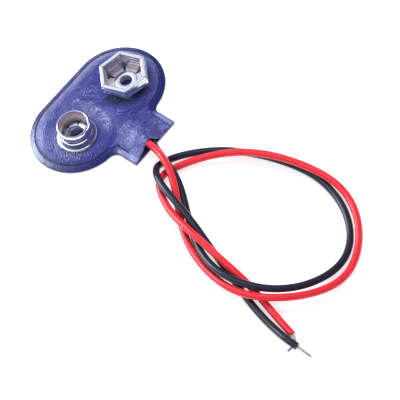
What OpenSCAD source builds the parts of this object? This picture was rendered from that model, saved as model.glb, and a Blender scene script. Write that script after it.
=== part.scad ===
// Soft battery snap: two press contacts riveted through a welded vinyl pouch,
// with a red and a black lead leaving the pouch's tab. Millimetres. The back lies
// on z = 0, the stud is on -X, the socket on +X and the tab points to -Y.

/* [Contacts] */
// Distance between the axes of the stud and the socket
snap_pitch = 12.7; // [12:0.1:13.4]
// Thickness of the contacts' sheet metal
sheet_t = 0.3; // [0.2:0.05:0.35]
// Diameter of the stud's head
stud_d = 5.72; // [5.5:0.02:6]
// Height of the stud above the vinyl
stud_h = 3.3; // [3:0.1:3.8]
// Length of the straight band round the stud's head
stud_band = 0.7; // [0.5:0.1:0.9]
// Diameter of the stud's neck
stud_neck_d = 5.1; // [4.9:0.05:5.3]
// Diameter of the stud's open mouth, outside
stud_mouth_d = 5.5; // [5.3:0.05:5.6]
// Height of the rounded crown above the stud's straight band
stud_crown = 0.4; // [0.3:0.05:0.5]
// Height of the undercut between the stud's neck and its band
stud_undercut = 0.3; // [0.2:0.05:0.4]
// Diameter of the stud's flange
stud_flange_d = 7; // [6.7:0.1:7.2]
// Distance across the flats of the socket's rim
socket_flats = 7.8; // [7.5:0.1:8.4]
// Height of the socket above the vinyl
socket_h = 2.9; // [2.7:0.1:3.4]
// Width of the socket's flat rim
socket_rim = 0.75; // [0.65:0.05:0.8]
// Distance between opposite fingers at their waist
socket_grip = 5.8; // [5.7:0.05:5.9]
// Length of the hem that hangs from the rim
socket_hem = 1.7; // [1.4:0.1:1.9]
// Turn of the hexagon about its axis
socket_turn = -13; // [-30:1:30]
// Slit between neighbouring fingers
finger_slit = 0.1; // [0.06:0.02:0.16]
// Width of the relief hole between two fingers at the floor
relief_w = 1; // [0.6:0.1:1.2]

/* [Eyelets] */
// Bore of each eyelet
eyelet_bore = 2.1; // [1.8:0.1:2.2]
// Wall of each eyelet
eyelet_wall = 0.2; // [0.15:0.05:0.25]
// Diameter of the eyelet's flange behind the board
eyelet_flange_d = 4; // [3.6:0.1:4.4]
// Diameter of the rolled or splayed head inside the contact
eyelet_head_d = 4; // [3.6:0.1:4.2]
// Number of petals that the stud's eyelet splits into
petals = 6; // [5:1:8]
// Play round the eyelet's barrel
eyelet_play = 0.05; // [0.02:0.01:0.1]

/* [Pouch] */
// Thickness of the vinyl
vinyl_t = 0.4; // [0.35:0.05:0.5]
// Distance between the centres of the two lobes
lobe_spread = 10.5; // [10:0.1:11.5]
// Radius of each lobe
lobe_r = 8.2; // [7.9:0.1:8.8]
// How far the lobes' centres lie behind the line of the contacts
lobe_shift = 1.4; // [1:0.1:1.6]
// Width of the tab
tab_w = 9.9; // [9:0.1:11]
// Distance of the tab's cut end from the line of the contacts
tab_reach = 11.6; // [11.4:0.1:12.4]
// Radius in the notch where the tab meets a lobe
notch_r = 1.5; // [0.8:0.1:2]
// Width of the welded rim
weld_w = 1.2; // [0.9:0.1:1.5]
// Width of the slope from the welded rim to the panel
slope_w = 0.8; // [0.6:0.1:0.9]
// How far the slack vinyl puffs up round the contacts
puff_h = 0.3; // [0.1:0.05:0.5]
// Flat ring of vinyl left round the stud's flange
seat_ring = 0.75; // [0.7:0.05:0.9]

/* [Board] */
// Thickness of the stiff board inside the pouch
board_t = 0.4; // [0.3:0.05:0.6]
// How far the board's edge lies inside the lobes' edge
board_inset = 2.4; // [2.4:0.1:3]
// Distance of the board's near edge from the line of the contacts
board_front = 4.3; // [4.1:0.1:4.4]
// Room for the bare wire between the back cover and the board
wire_room = 0.45; // [0.42:0.01:0.6]

/* [Leads] */
// Outside diameter of each lead
lead_d = 1.2; // [1:0.05:1.2]
// Diameter of the bare conductor inside the pouch
core_d = 0.36; // [0.3:0.02:0.38]
// Diameter of the tinned free ends
tip_d = 0.5; // [0.4:0.05:0.6]
// Room between the leads and the mouth of the tab
mouth_play = 0.12; // [0.1:0.02:0.3]
// Radius of each solder joint
solder_r = 0.8; // [0.6:0.1:1]

/* [Hidden] */

// Colours as seen on the object
vinyl_colour = "#5550a0";
back_colour = "#3c3a86";
metal_colour = "#d9dce6";
board_colour = "#6b4a2f";
solder_colour = "#b9bcc2";
tinned_colour = "#a5a7ab";
red_colour = "#ff3241";
black_colour = "#2d2d46";

// Levels of the stack, from the back up
board_z = vinyl_t + wire_room;
board_top = board_z + board_t;
seat_z = board_top + vinyl_t;
rim_z = 2 * vinyl_t;
stud_x = -snap_pitch / 2;
socket_x = snap_pitch / 2;
barrel_r = eyelet_bore / 2 + eyelet_wall;
hole_r = barrel_r + eyelet_play;
board_r = lobe_r - board_inset;

// Outline of the pouch, from the middle of the far edge round to the tab's middle
lobe_x = lobe_spread / 2;
tab_x = tab_w / 2;
notch_x = tab_x + notch_r - lobe_x;
notch_y = lobe_shift - sqrt(pow(lobe_r + notch_r, 2) - notch_x * notch_x);
notch_angle = atan2(notch_y - lobe_shift, notch_x);
lobe_steps = 26;
notch_steps = 4;
side_steps = 5;
edge_steps = 5;
end_steps = 9;
function arc(cx, cy, r, a0, a1, n) =
    [for (i = [0:n]) let (a = a0 + (a1 - a0) * i / n) [cx + r * cos(a), cy + r * sin(a)]];
half_outline = concat(
    [for (i = [0:edge_steps - 1]) [lobe_x * i / edge_steps, lobe_shift + lobe_r]],
    arc(lobe_x, lobe_shift, lobe_r, 90, notch_angle, lobe_steps),
    [for (p = arc(tab_x + notch_r, notch_y, notch_r, notch_angle + 180, 180, notch_steps)) if (p[0] < tab_x + notch_r * 0.9) p],
    [for (i = [1:side_steps]) [tab_x, notch_y + (-tab_reach - notch_y) * i / side_steps]],
    [for (i = [1:end_steps]) [tab_x * (1 - i / end_steps), -tab_reach]]);
half_count = len(half_outline);
outline = concat(half_outline, [for (i = [half_count - 2:-1:1]) [-half_outline[i][0], half_outline[i][1]]]);

// Heights of the front cover's upper face
function clamp01(t) = min(1, max(0, t));
function ease(t) = let (u = clamp01(t)) u * u * (3 - 2 * u);
function lobe_depth(p) = lobe_r - norm([max(0, abs(p[0]) - lobe_x), p[1] - lobe_shift]);
function snap_distance(p) = min(norm(p - [stud_x, 0]), norm(p - [socket_x, 0]));
seat_r = stud_flange_d / 2 + seat_ring;
puff_w = 1.9;
function panel(p) = ease((lobe_depth(p) - weld_w) / slope_w)
    * (seat_z - rim_z + puff_h * ease((snap_distance(p) - seat_r) / puff_w));
// The swelling over the leads: they lie side by side at the board, one on the other at the mouth,
// where the vinyl slopes gently on the stud's side and steeply on the socket's side
channel_low = lead_d + mouth_play;
flare_rise = 1.1;
channel_high = channel_low + flare_rise;
channel_top_y = 0.5;
channel_full_y = -4.5;
channel_flat = 1.4;
channel_fall = 2.3;
flare_start = 7.4;
flare_shift = -0.9;
stud_side_flat = 0.4;
stud_side_fall = 2.9;
socket_side_flat = 0.25;
socket_side_fall = 1.5;
function flare(y) = ease((-y - flare_start) / (tab_reach - flare_start));
function between(a, b, f) = a + (b - a) * f;
function channel(p) = let (f = flare(p[1]), u = p[0] - flare_shift * f,
                           flat = between(channel_flat, u < 0 ? stud_side_flat : socket_side_flat, f),
                           fall = between(channel_fall, u < 0 ? stud_side_fall : socket_side_fall, f))
    between(channel_low, channel_high, f) * (1 - ease((abs(u) - flat) / fall))
    * ease((p[1] - channel_top_y) / (channel_full_y - channel_top_y)) * ease((snap_distance(p) - seat_r) / puff_w);
blend_power = 4;
function cover_top(p) = rim_z + pow(pow(panel(p), blend_power) + pow(channel(p), blend_power), 1 / blend_power);

// Points of one ring of the front cover, moved in from the outline towards the origin
function outward(i) = let (n = len(outline), a = outline[(i + n - 1) % n], b = outline[(i + 1) % n], t = b - a)
    [-t[1], t[0]] / norm(t);
ray_grip = 0.5;
function moved_in(i, d) = let (p = outline[i], ray = p / norm(p))
    p - ray * d / max(ray_grip, abs(ray * outward(i)));
rim_depths = [0, weld_w / 2, weld_w, weld_w + 0.3 * slope_w, weld_w + 0.65 * slope_w, weld_w + slope_w];
inner_shares = [0.93, 0.86, 0.78, 0.69, 0.58, 0.46, 0.33, 0.19];
function ring_point(i, k) = k < len(rim_depths) ? moved_in(i, rim_depths[k])
    : moved_in(i, weld_w + slope_w) * inner_shares[k - len(rim_depths)];

module front_cover() {
    around = len(outline);
    rings = len(rim_depths) + len(inner_shares);
    flat = [for (k = [0:rings - 1]) for (i = [0:around - 1]) ring_point(i, k)];
    top = concat([for (p = flat) [p[0], p[1], cover_top(p)]], [[0, 0, cover_top([0, 0])]]);
    bottom = [for (p = top) [p[0], p[1], p[2] - vinyl_t]];
    size = len(top);
    function next(i) = (i + 1) % around;
    function at(k, i) = k * around + i;
    top_faces = concat(
        [for (k = [0:rings - 2]) for (i = [0:around - 1]) [at(k, i), at(k, next(i)), at(k + 1, i)]],
        [for (k = [0:rings - 2]) for (i = [0:around - 1]) [at(k, next(i)), at(k + 1, next(i)), at(k + 1, i)]],
        [for (i = [0:around - 1]) [at(rings - 1, i), at(rings - 1, next(i)), size - 1]]);
    bottom_faces = [for (f = top_faces) [f[2] + size, f[1] + size, f[0] + size]];
    wall_faces = concat(
        [for (i = [0:around - 1]) [i, i + size, next(i)]],
        [for (i = [0:around - 1]) [next(i), i + size, next(i) + size]]);
    color(vinyl_colour)
    difference() {
        polyhedron(concat(top, bottom), concat(top_faces, bottom_faces, wall_faces));
        for (x = [stud_x, socket_x]) translate([x, 0, 0]) cylinder(r = hole_r, h = 2 * seat_z, $fn = 48);
    }
}

module back_cover() {
    color(back_colour) linear_extrude(vinyl_t) polygon(outline);
}

module contact_board() {
    color(board_colour)
    translate([0, 0, board_z])
    difference() {
        translate([0, lobe_shift, 0]) {
            for (s = [-1, 1]) translate([s * lobe_x, 0, 0]) cylinder(r = board_r, h = board_t, $fn = 96);
            translate([-lobe_x, -board_r, 0]) cube([lobe_spread, 2 * board_r, board_t]);
        }
        translate([-lobe_spread, -board_front - lobe_spread, -1]) cube([2 * lobe_spread, lobe_spread, board_t + 2]);
        for (x = [stud_x, socket_x]) translate([x, 0, -1]) cylinder(r = hole_r, h = board_t + 2, $fn = 48);
    }
}

// Drawn cup: beaded flange, wall that flares up into the neck, straight band and a mouth rolled inwards
module snap_stud() {
    flange_r = stud_flange_d / 2;
    neck_r = stud_neck_d / 2;
    head_r = stud_d / 2;
    mouth_r = stud_mouth_d / 2;
    bead_r = sheet_t / 2;
    band_top = stud_h - stud_crown;
    band_low = band_top - stud_band;
    lip_r = sheet_t / 2;
    flare_x = flange_r - 2 * bead_r;
    neck_z = band_low - stud_undercut;
    // Points of a curve from the foot of the wall at radius r up to the neck, t further in
    function flare(r, t, n) = [for (i = [0:n]) let (u = i / n)
        [(1 - u) * (1 - u) * r + 2 * u * (1 - u) * (neck_r + (r - neck_r) * 0.35 - t * 0.65) + u * u * (neck_r - t),
         (1 - u) * (1 - u) * sheet_t + 2 * u * (1 - u) * (sheet_t + (neck_z - sheet_t) * 0.45) + u * u * neck_z]];
    foot_r = flare_x - sheet_t * 1.3;
    inner = flare(foot_r, sheet_t, 6);
    outside = concat(
        [[hole_r, 0]],
        arc(flange_r - bead_r, bead_r, bead_r, -90, 90, 6),
        flare(flare_x, 0, 6),
        [[head_r - 0.08, band_low - 0.12], [head_r, band_low], [head_r, band_top], [head_r - 0.03, band_top + 0.15]],
        arc(mouth_r - lip_r, stud_h - lip_r, lip_r, 20, 180, 6));
    inside = concat(
        [[mouth_r - 2 * lip_r, stud_h - 2 * lip_r], [head_r - sheet_t, band_top], [head_r - sheet_t, band_low]],
        [for (i = [len(inner) - 1:-1:0]) inner[i]],
        [[hole_r, sheet_t]]);
    color(metal_colour)
    translate([stud_x, 0, seat_z])
    rotate_extrude($fn = 96) polygon(concat(outside, inside));
}

// Six sprung fingers folded up from a floor, curled over into a flat rim and a hem
module snap_socket() {
    rim_r = socket_flats / 2;
    grip_r = socket_grip / 2;
    mouth_r = rim_r - socket_rim;
    waist_z = socket_h * 0.5;
    hem_z = socket_h - socket_hem;
    foot_r = grip_r + 0.15;
    curl = sheet_t * 0.8;
    side = 2 * rim_r;
    finger = [[foot_r - sheet_t, 0], [foot_r, 0], [foot_r + sheet_t, sheet_t], [grip_r + sheet_t, waist_z],
              [mouth_r + sheet_t, socket_h - sheet_t], [rim_r - sheet_t, socket_h - sheet_t], [rim_r - sheet_t, hem_z],
              [rim_r, hem_z], [rim_r, socket_h - curl], [rim_r - curl, socket_h], [mouth_r, socket_h],
              [grip_r, waist_z], [foot_r, sheet_t], [foot_r - sheet_t, sheet_t]];
    wedge = [[finger_slit, 0], [finger_slit + side, side * tan(30)], [finger_slit + side, -side * tan(30)]];
    relief = [[-relief_w / 2, -1], [relief_w / 2, -1], [relief_w / 2, sheet_t], [0, waist_z * 0.85], [-relief_w / 2, sheet_t]];
    color(metal_colour)
    translate([socket_x, 0, seat_z])
    rotate([0, 0, socket_turn])
    difference() {
        union() {
            cylinder(r = foot_r / cos(30), h = sheet_t, $fn = 6);
            for (k = [0:5]) rotate([0, 0, 60 * k + 30])
                intersection() {
                    translate([0, side / 2, 0]) rotate([90, 0, 0]) linear_extrude(side) polygon(finger);
                    translate([0, 0, -1]) linear_extrude(socket_h + 2) polygon(wedge);
                }
        }
        for (k = [0:5]) rotate([0, 0, 60 * k])
            translate([grip_r, 0, 0]) rotate([90, 0, 90]) linear_extrude(side) polygon(relief);
        translate([0, 0, -1]) cylinder(r = hole_r, h = 2 * socket_h, $fn = 48);
    }
}

// Barrel and back flange that both eyelets share, up to the contact's floor
module eyelet_barrel() {
    bore_r = eyelet_bore / 2;
    top_z = seat_z + sheet_t;
    rotate_extrude($fn = 64)
    polygon([[bore_r, board_z - eyelet_wall], [eyelet_flange_d / 2, board_z - eyelet_wall], [eyelet_flange_d / 2, board_z],
             [barrel_r, board_z], [barrel_r, top_z], [bore_r, top_z]]);
}

// The stud's eyelet splits into petals that splay over the cup's floor
module stud_eyelet() {
    bore_r = eyelet_bore / 2;
    head_r = eyelet_head_d / 2;
    floor_z = seat_z + sheet_t;
    turn = 360 / petals;
    petal = [[bore_r, floor_z], [barrel_r, floor_z], [barrel_r + 0.15, floor_z], [head_r, floor_z + 0.5],
             [head_r - 0.1, floor_z + 0.5 + eyelet_wall], [barrel_r + 0.05, floor_z + eyelet_wall + 0.12], [bore_r, floor_z + 0.12]];
    color(solder_colour)
    translate([stud_x, 0, 0]) {
        eyelet_barrel();
        for (k = [0:petals - 1]) rotate([0, 0, turn * k]) rotate_extrude(angle = turn * 0.8, $fn = 64) polygon(petal);
    }
}

// The socket's eyelet has a smooth rolled head
module socket_eyelet() {
    bore_r = eyelet_bore / 2;
    head_r = eyelet_head_d / 2;
    floor_z = seat_z + sheet_t;
    roll_r = (head_r - bore_r) / 2;
    head = concat([[bore_r, floor_z], [head_r, floor_z]],
                  [for (p = arc(0, 0, 1, 0, 180, 10)) [bore_r + roll_r + roll_r * p[0], floor_z + 0.05 + 0.25 * p[1]]]);
    color(solder_colour)
    translate([socket_x, 0, 0]) {
        eyelet_barrel();
        rotate_extrude($fn = 64) polygon(head);
    }
}

// Tubes swept along route points: a smooth cubic rounds the corners between them
function padded(points) = let (n = len(points))
    concat([2 * points[0] - points[1]], points, [2 * points[n - 1] - points[n - 2]]);
function unit(v) = v / norm(v);
module swept_tube(points, d, sides = 8) {
    p = padded(points);
    count = len(points);
    centres = [for (i = [1:count]) (p[i - 1] + 4 * p[i] + p[i + 1]) / 6];
    tangents = [for (i = [1:count]) unit(p[i + 1] - p[i - 1])];
    rings = [for (i = [0:count - 1]) let (t = tangents[i], s = unit(cross([0, 0, 1], t)), u = cross(t, s))
             for (k = [0:sides - 1]) let (a = 360 * k / sides) centres[i] + d / 2 * (cos(a) * u + sin(a) * s)];
    function at(i, k) = i * sides + k % sides;
    first_cap = [for (k = [0:sides - 1]) sides - 1 - k];
    last_cap = [for (k = [0:sides - 1]) at(count - 1, k)];
    polyhedron(rings, concat(
        [first_cap, last_cap],
        [for (i = [0:count - 2]) for (k = [0:sides - 1]) [at(i, k), at(i + 1, k + 1), at(i + 1, k)]],
        [for (i = [0:count - 2]) for (k = [0:sides - 1]) [at(i, k), at(i, k + 1), at(i + 1, k + 1)]]));
}

// Routes of the leads from the board out through the tab, round one loop to their free ends
red_route = [
    [-0.7, -6.6, 1], [-0.7, -8.2, 1], [-1, -9.9, 1.7], [-1.3, -12, 2.2], [-1.9, -14.1, 3.2],
    [-2.6, -16.3, 3.7], [-3.6, -18.5, 3.3], [-5.1, -20.6, 2.5], [-7.3, -22.9, 1.6], [-9.8, -25.6, 0.8],
    [-12, -28.9, 0.6], [-13.5, -32.7, 0.7], [-14.4, -36.7, 1.2], [-14.6, -40.6, 1.8],
    [-13.8, -44.1, 2.3], [-12, -47.3, 2.4], [-9.5, -50, 2], [-6.5, -52.1, 1.4], [-3.2, -53.1, 0.8],
    [0.2, -52.7, 0.6], [3.6, -51.1, 0.8], [6.7, -48.5, 1.2], [8.9, -45.1, 1.6], [9.8, -40.9, 1.9],
    [9.4, -36.1, 2.1], [8.3, -31.1, 2.2], [6.4, -26.4, 2.1], [3.8, -22.6, 1.6], [1.1, -19.7, 1],
    [-1.4, -17.9, 0.7], [-3.3, -17, 0.8], [-4.7, -17, 1], [-5.9, -17.5, 1.2], [-7.1, -18.9, 1.4],
    [-8.3, -21, 1.7], [-9.5, -23.7, 2.2], [-10.2, -26.9, 2.7], [-10.8, -30.3, 2.9], [-11.4, -34, 2.7],
    [-11.8, -37.7, 2.2], [-12.2, -41.4, 1.5], [-13.1, -45, 0.9], [-14.1, -48.6, 0.6], [-15, -52.2, 0.6]];
black_route = [
    [0.6, -6.6, 1], [0.6, -8.2, 1], [0.2, -9.9, 1], [-0.6, -12, 1.1], [-1.3, -13.7, 1.6],
    [-1.9, -15.2, 2.2], [-2.6, -16.7, 2.3], [-3.2, -18.8, 1.8], [-4.5, -21.2, 1.2], [-6.6, -23.8, 0.8],
    [-8.9, -26.7, 0.7], [-11.1, -29.8, 1.2], [-12.8, -33.2, 1.9], [-13.6, -37, 2.5],
    [-13.3, -40.8, 2.7], [-12.1, -44.4, 2.6], [-9.9, -47.5, 2.2], [-6.9, -49.8, 1.7],
    [-3.5, -51.1, 1.2], [-0.1, -51.2, 0.8], [3.1, -49.8, 0.6], [6.1, -47, 0.6], [8.3, -43.1, 0.7],
    [9.4, -38.2, 0.8], [8.9, -32.9, 0.8], [7.4, -27.5, 0.9], [5.3, -22.7, 0.9], [2.7, -19.1, 0.7],
    [0.5, -16.9, 0.6], [-0.9, -15.9, 0.6], [-1.9, -15.4, 0.7], [-2.8, -15.3, 1], [-3.7, -15.4, 1.5],
    [-4.6, -16, 2], [-5.7, -17.3, 2.6], [-6.8, -20, 3], [-7.8, -23.7, 2.9], [-9, -28.1, 2.3],
    [-10.6, -32.5, 1.5], [-12, -36.8, 1], [-13.5, -40.8, 0.7], [-14.7, -44.4, 0.6],
    [-15.5, -47.6, 0.6], [-16, -50.2, 0.9], [-16.4, -52.4, 1.4], [-16.4, -54.4, 1.2]];
red_tip_route = [[-15, -52.2, 0.6], [-15.2, -53, 0.6], [-15.9, -53.4, 0.3], [-16.8, -53.4, 0.3], [-17.6, -53.3, 0.3]];
black_tip_route = [[-16.4, -54.4, 1.2], [-16.4, -55.4, 1.1], [-16.4, -56.2, 0.8], [-16.3, -56.9, 0.4]];
red_tail_route = [[-0.7, -6.6, 1], [-0.7, -6.2, 1], [0, -5.7, 1.4], [0.8, -5.2, 1], [1.6, -4.7, 0.6],
                  [3, -3.2, 0.6], [4.2, -2, 0.6]];
black_tail_route = [[0.6, -6.6, 1], [0.6, -6.2, 1], [0.1, -5.8, 0.6], [-0.6, -5.2, 0.6], [-1.6, -4.4, 0.6],
                    [-3, -3.2, 0.6], [-4.2, -2, 0.6]];

module red_lead() {
    color(red_colour) swept_tube(red_route, lead_d);
}
module black_lead() {
    color(black_colour) swept_tube(black_route, lead_d);
}
module red_tip() {
    color(tinned_colour) swept_tube(red_tip_route, tip_d);
}
module black_tip() {
    color(tinned_colour) swept_tube(black_tip_route, tip_d);
}
module red_tail() {
    color(tinned_colour) swept_tube(red_tail_route, core_d);
}
module black_tail() {
    color(tinned_colour) swept_tube(black_tail_route, core_d);
}

// Joint of solder against an eyelet's flange, round the end of a tail
solder_way = 43;
module solder_joint(x, way) {
    reach = eyelet_flange_d / 2 + solder_r * 0.35;
    base_z = vinyl_t + 0.02;
    difference() {
        translate([x, 0, 0]) rotate([0, 0, way]) translate([reach, 0, base_z])
            rotate_extrude($fn = 48)
            polygon(concat([[0, 0]], arc(solder_r - 0.12, 0.12, 0.12, -90, 0, 3), [[solder_r, board_z - base_z], [0, board_z - base_z]]));
        translate([x, 0, 0]) cylinder(r = eyelet_flange_d / 2, h = board_z, $fn = 64);
    }
}
module stud_solder() {
    color(solder_colour)
    difference() {
        solder_joint(stud_x, -solder_way);
        black_tail();
    }
}
module socket_solder() {
    color(solder_colour)
    difference() {
        solder_joint(socket_x, 180 + solder_way);
        red_tail();
    }
}

front_cover();
back_cover();
contact_board();
snap_stud();
snap_socket();
stud_eyelet();
socket_eyelet();
stud_solder();
socket_solder();
red_tail();
black_tail();
red_lead();
black_lead();
red_tip();
black_tip();
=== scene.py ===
from math import atan2, cos, degrees, exp, hypot, pi, radians, sin, sqrt, tan

import bmesh
import bpy
from mathutils import Matrix, Vector
from mathutils.kdtree import KDTree


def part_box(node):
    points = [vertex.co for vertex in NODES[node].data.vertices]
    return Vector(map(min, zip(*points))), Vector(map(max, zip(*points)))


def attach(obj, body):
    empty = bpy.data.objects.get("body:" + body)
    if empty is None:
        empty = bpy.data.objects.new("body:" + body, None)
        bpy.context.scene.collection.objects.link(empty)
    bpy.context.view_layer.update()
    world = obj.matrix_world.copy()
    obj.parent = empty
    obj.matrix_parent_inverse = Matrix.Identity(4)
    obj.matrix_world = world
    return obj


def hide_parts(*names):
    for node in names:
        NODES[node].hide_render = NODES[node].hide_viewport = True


bl_info = {
    "name": "Soft battery snap",
    "version": (1, 0, 0),
    "blender": (4, 5, 0),
    "location": "View3D > Sidebar > Snap",
    "description": "Dresses the packed battery snap: grained vinyl pouch, plated contacts, leads and stage",
    "category": "Object",
}

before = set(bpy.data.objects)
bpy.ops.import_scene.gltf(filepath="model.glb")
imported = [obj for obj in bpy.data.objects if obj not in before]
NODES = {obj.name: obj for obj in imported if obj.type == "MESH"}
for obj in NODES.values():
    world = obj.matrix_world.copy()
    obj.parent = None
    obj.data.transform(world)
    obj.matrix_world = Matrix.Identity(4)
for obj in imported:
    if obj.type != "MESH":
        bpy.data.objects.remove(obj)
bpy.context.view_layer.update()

# Route points of the leads and their bare ends, in tenths of a millimetre, the same as in the solids
ROUTE_UNITS = 10000
RED_ROUTE = [
    (-7, -66, 10), (-7, -82, 10), (-10, -99, 17), (-13, -120, 22), (-19, -141, 32), (-26, -163, 37),
    (-36, -185, 33), (-51, -206, 25), (-73, -229, 16), (-98, -256, 8), (-120, -289, 6), (-135, -327, 7),
    (-144, -367, 12), (-146, -406, 18), (-138, -441, 23), (-120, -473, 24), (-95, -500, 20), (-65, -521, 14),
    (-32, -531, 8), (2, -527, 6), (36, -511, 8), (67, -485, 12), (89, -451, 16), (98, -409, 19),
    (94, -361, 21), (83, -311, 22), (64, -264, 21), (38, -226, 16), (11, -197, 10), (-14, -179, 7),
    (-33, -170, 8), (-47, -170, 10), (-59, -175, 12), (-71, -189, 14), (-83, -210, 17), (-95, -237, 22),
    (-102, -269, 27), (-108, -303, 29), (-114, -340, 27), (-118, -377, 22), (-122, -414, 15), (-131, -450, 9),
    (-141, -486, 6), (-150, -522, 6)]
BLACK_ROUTE = [
    (6, -66, 10), (6, -82, 10), (2, -99, 10), (-6, -120, 11), (-13, -137, 16), (-19, -152, 22),
    (-26, -167, 23), (-32, -188, 18), (-45, -212, 12), (-66, -238, 8), (-89, -267, 7), (-111, -298, 12),
    (-128, -332, 19), (-136, -370, 25), (-133, -408, 27), (-121, -444, 26), (-99, -475, 22), (-69, -498, 17),
    (-35, -511, 12), (-1, -512, 8), (31, -498, 6), (61, -470, 6), (83, -431, 7), (94, -382, 8),
    (89, -329, 8), (74, -275, 9), (53, -227, 9), (27, -191, 7), (5, -169, 6), (-9, -159, 6),
    (-19, -154, 7), (-28, -153, 10), (-37, -154, 15), (-46, -160, 20), (-57, -173, 26), (-68, -200, 30),
    (-78, -237, 29), (-90, -281, 23), (-106, -325, 15), (-120, -368, 10), (-135, -408, 7), (-147, -444, 6),
    (-155, -476, 6), (-160, -502, 9), (-164, -524, 14), (-164, -544, 12)]
RED_TIP_ROUTE = [
    (-150, -522, 6), (-152, -530, 6), (-159, -534, 3), (-168, -534, 3), (-176, -533, 3)]
BLACK_TIP_ROUTE = [
    (-164, -544, 12), (-164, -554, 11), (-164, -562, 8), (-163, -569, 4)]

# Steps between two route points, and fineness of the pouch's outline
LINE_STEPS = 8
EDGE_STEPS = 3

# Leads: sides of a sleeve and of a strand, and the girth of a sleeve's cut end
SLEEVE_SIDES = 24
STRAND_SIDES = 10
SLEEVE_END = 0.94
# Strands: how many lie round the middle one, their twist at each step in degrees, how far they are drawn in
# at the tip, and their radius and distance from the middle as shares of the bare end's radius
STRANDS = 6
STRAND_TWIST = 9
STRAND_TAPER = 0.35
STRAND_RADIUS = 0.36
STRAND_OUT = 0.64

# Share of the rim's fall that the hidden faces of the covers follow
HIDDEN_FALL = 0.35
# Room round the eyelets' barrels in their holes
HOLE_GAP = 0.00005
# Steps round an eyelet and across one of its petals
EYELET_TURNS = 96
PETAL_ACROSS = 9
# Faces that meet at less than this angle in degrees are shaded as one
VINYL_CREASE = 50
CONTACT_CREASE = 40
SOCKET_CREASE = 24
SIXTH = radians(60)

# Camera: turn, lift and roll in degrees, its place along its own right, up and back, and its lens
CAMERA_ANGLES = (-33.22, 56.7, -20.26)
CAMERA_PLACE = (0.01601, -0.0145, 0.3016)
CAMERA_LENS = 162
# The place that the lights face, and the tint of the one that only shines in reflections
LIGHT_AIM = (0, -0.012, 0)
WINDOW_TINT = (0.76, 0.88, 1)
# The even sky, and the one in reflections: the way it is brightest and its colours from away to facing
SKY_TINT = (0.78, 0.86, 1, 1)
SKY_WAY = (-0.2, 0.65, 0.73)
SKY_STOPS = ((0.4, (0.05, 0.055, 0.13)), (0.75, (0.15, 0.16, 0.28)),
             (0.86, (0.68, 0.74, 0.86)), (0.97, (0.9, 0.95, 1)))
# Floor: half its width, its level just under the part, its colour and its glow where it is seen
FLOOR_HALF = 1.5
FLOOR_LEVEL = -0.00003
FLOOR_COLOUR = (0.86, 0.86, 0.87, 1)
FLOOR_GLOW = 0.62


def number_prop(label, words, value, **kind):
    """A number that the sidebar shows."""
    return bpy.props.FloatProperty(name=label, description=words, default=value, **kind)


def metres(label, words, value):
    """A size in metres that the sidebar shows."""
    return number_prop(label, words, value, precision=5, subtype="DISTANCE", unit="LENGTH")


def colour_prop(label, words, value):
    """A linear colour that the sidebar shows."""
    return bpy.props.FloatVectorProperty(name=label, description=words, default=value, size=3,
                                         min=0, max=1, subtype="COLOR")


class PouchSettings(bpy.types.PropertyGroup):
    """Sizes and colours of the two vinyl covers."""
    vinyl: metres("Vinyl", "Thickness of each cover", 0.0004)
    lobe_spread: metres("Lobe spread", "Distance between the centres of the lobes", 0.0105)
    lobe_radius: metres("Lobe radius", "Radius of each lobe", 0.0082)
    lobe_shift: metres("Lobe shift", "How far the lobes lie behind the line of the contacts", 0.0014)
    tab_width: metres("Tab width", "Width of the tab", 0.0099)
    tab_reach: metres("Tab reach", "Distance of the tab's end from the line of the contacts", 0.0116)
    notch: metres("Notch", "Radius between the tab and a lobe", 0.0015)
    weld: metres("Weld", "Width of the welded rim", 0.0012)
    slope: metres("Slope", "Width of the slope from the rim to the panel", 0.0008)
    seat: metres("Seat", "Height of the vinyl under the contacts", 0.00165)
    puff: metres("Puff", "How far the slack vinyl stands up round the contacts", 0.00055)
    rim_fall: metres("Rim fall", "How far the pressed rim falls to its cut edge", 0.0004)
    groove: metres("Groove", "Depth of the line pressed along the weld", 0.0002)
    crease: metres("Crease", "Height of the soft creases", 0.00016)
    ridge_colour: colour_prop("Grain ridges", "Colour of the vinyl on its grain", (0.078, 0.082, 0.38))
    valley_colour: colour_prop("Grain valleys", "Colour of the vinyl between its grain", (0.018, 0.022, 0.16))
    # The vinyl's own dark cut edge; the same colour also paints shade in the pressed line and shadow under
    # and round the contacts
    edge_and_shade_colour: colour_prop("Cut edge", "Colour of the cut edge", (0.011, 0.014, 0.075))
    # Painted sheen: a paler colour on the weld beside the tab that stands in for the light it reflects
    painted_ear_sheen_colour: colour_prop("Ears", "Colour of the paled weld beside the tab", (0.24, 0.25, 0.6))
    rim_colour: colour_prop("Rim", "Colour of the pressed rim", (0.009, 0.014, 0.13))


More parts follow.
